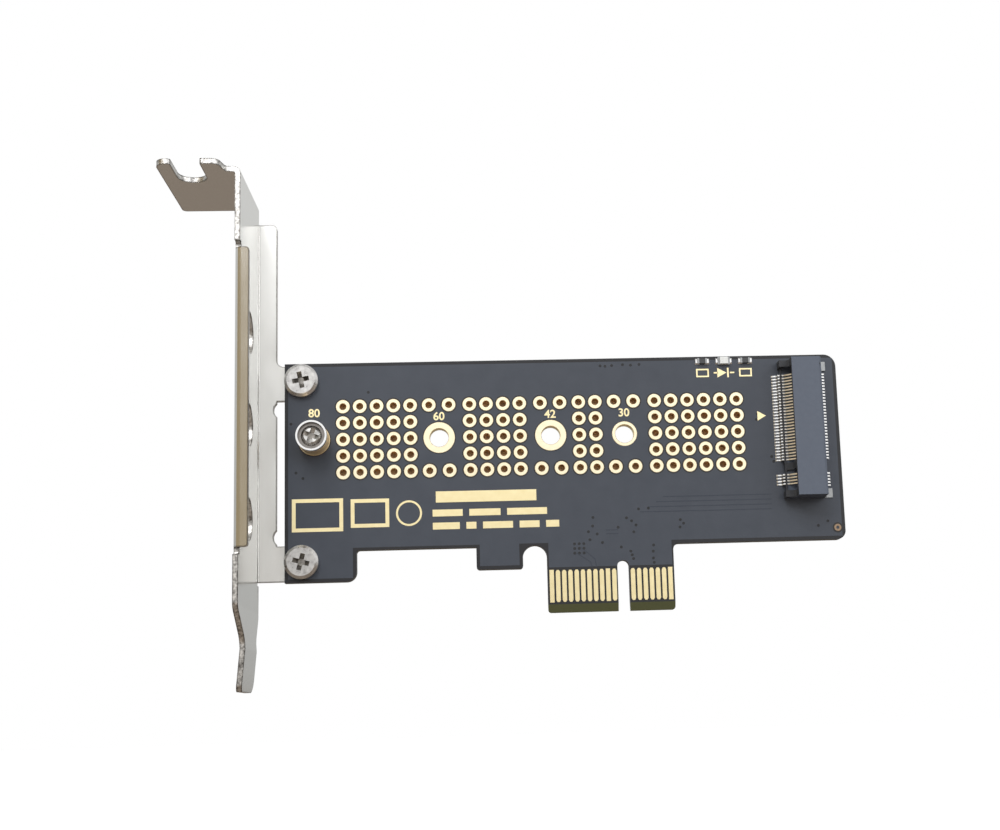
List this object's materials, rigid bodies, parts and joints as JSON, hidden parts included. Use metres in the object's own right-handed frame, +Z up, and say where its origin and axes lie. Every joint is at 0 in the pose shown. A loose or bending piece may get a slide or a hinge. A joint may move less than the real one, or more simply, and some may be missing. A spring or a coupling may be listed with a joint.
{
  "type": "nvme adapter card",
  "caption": "Low-profile expansion card carrying one M.2 drive: edge contacts, drive socket, movable drive standoff, perforated board and folded steel bracket.",
  "frame": {"origin": "middle of the edge connector's key notch, on the connector's bottom line, at the board's component face", "axes": "+X along the card away from the bracket, +Y from the component side through the board, +Z up and out of the slot"},
  "size_m": [0.1068, 0.0233, 0.0801],
  "materials": {
    "solder_mask": "satin slate-grey solder mask",
    "gold_plating": "gold plated copper",
    "bracket_steel": "bright nickel-plated steel sheet",
    "screw_steel": "nickel-plated steel",
    "standoff_brass": "turned brass",
    "socket_plastic": "moulded heat-resistant plastic",
    "contact_alloy": "gold-flashed copper alloy",
    "tinned_metal": "tinned sheet metal",
    "resistor_ceramic": "glazed black ceramic with tinned ends",
    "lamp_carrier": "white carrier with gold ends",
    "lamp_lens": "cloudy clear resin",
    "package_plastic": "moulded black package",
    "capacitor_ceramic": "tan ceramic with tinned ends"
  },
  "bodies": {
    "root": {"circuit_board": "solder_mask", "edge_contacts_front": "gold_plating", "edge_contacts_rear": "gold_plating", "bracket": "bracket_steel", "bracket_screws": "screw_steel", "m2_standoff": "standoff_brass", "m2_retaining_screw": "screw_steel", "standoff_nut": "standoff_brass", "m2_socket_housing": "socket_plastic", "m2_lower_contacts": "contact_alloy", "m2_upper_contacts": "contact_alloy", "m2_hold_down_upper": "tinned_metal", "m2_hold_down_lower": "tinned_metal", "lamp_resistor": "resistor_ceramic", "sense_resistor": "resistor_ceramic", "status_lamp_base": "lamp_carrier", "status_lamp_lens": "lamp_lens", "power_converter": "package_plastic", "power_inductor": "package_plastic", "feedback_resistors": "resistor_ceramic", "small_capacitors": "capacitor_ceramic", "bulk_capacitors": "capacitor_ceramic"}
  },
  "joints": []
}
